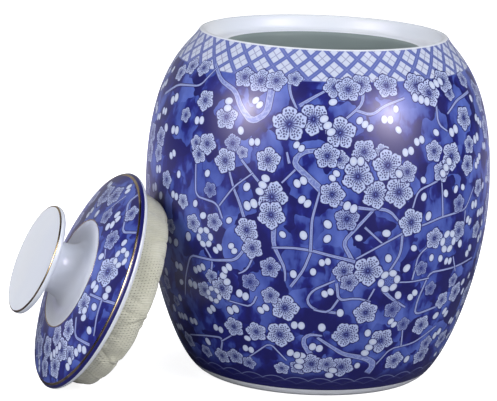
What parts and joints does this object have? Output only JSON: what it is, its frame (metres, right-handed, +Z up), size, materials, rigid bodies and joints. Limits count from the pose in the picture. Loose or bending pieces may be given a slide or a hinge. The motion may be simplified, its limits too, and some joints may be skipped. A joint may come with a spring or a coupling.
{
  "type": "ginger jar",
  "caption": "Barrel-shaped blue and white porcelain storage jar, with its disc-knobbed, cloth-sealed lid standing on edge and leaning on its belly.",
  "frame": {"origin": "on the jar's axis, in the plane that its foot stands on; the recessed face of the base is 2 mm above it", "axes": "+Z up along the jar's axis; the lid leans on the -X side of the belly with its knob pointing away from the jar, and -Y is the front"},
  "size_m": [0.3414, 0.24, 0.2385],
  "materials": {
    "blue_white_glaze": "gloss",
    "lid_glaze": "gloss",
    "white_glaze": "gloss",
    "gilding": "polished",
    "foam": "matte",
    "knit_cloth": "matte"
  },
  "bodies": {
    "jar": {"jar_body": "blue_white_glaze"},
    "lid": {"lid_dome": "lid_glaze", "lid_knob": "white_glaze", "gilt_rim_band": "gilding", "gilt_dish_band": "gilding", "gilt_knob_band": "gilding", "seal_foam_ring": "foam", "seal_cloth": "knit_cloth"}
  },
  "joints": [
    {"name": "lid_lift", "type": "slide", "parent": "jar", "child": "lid", "axis": [-0.9205, 0, 0.3907], "range_m": [0, 0.25]}
  ]
}
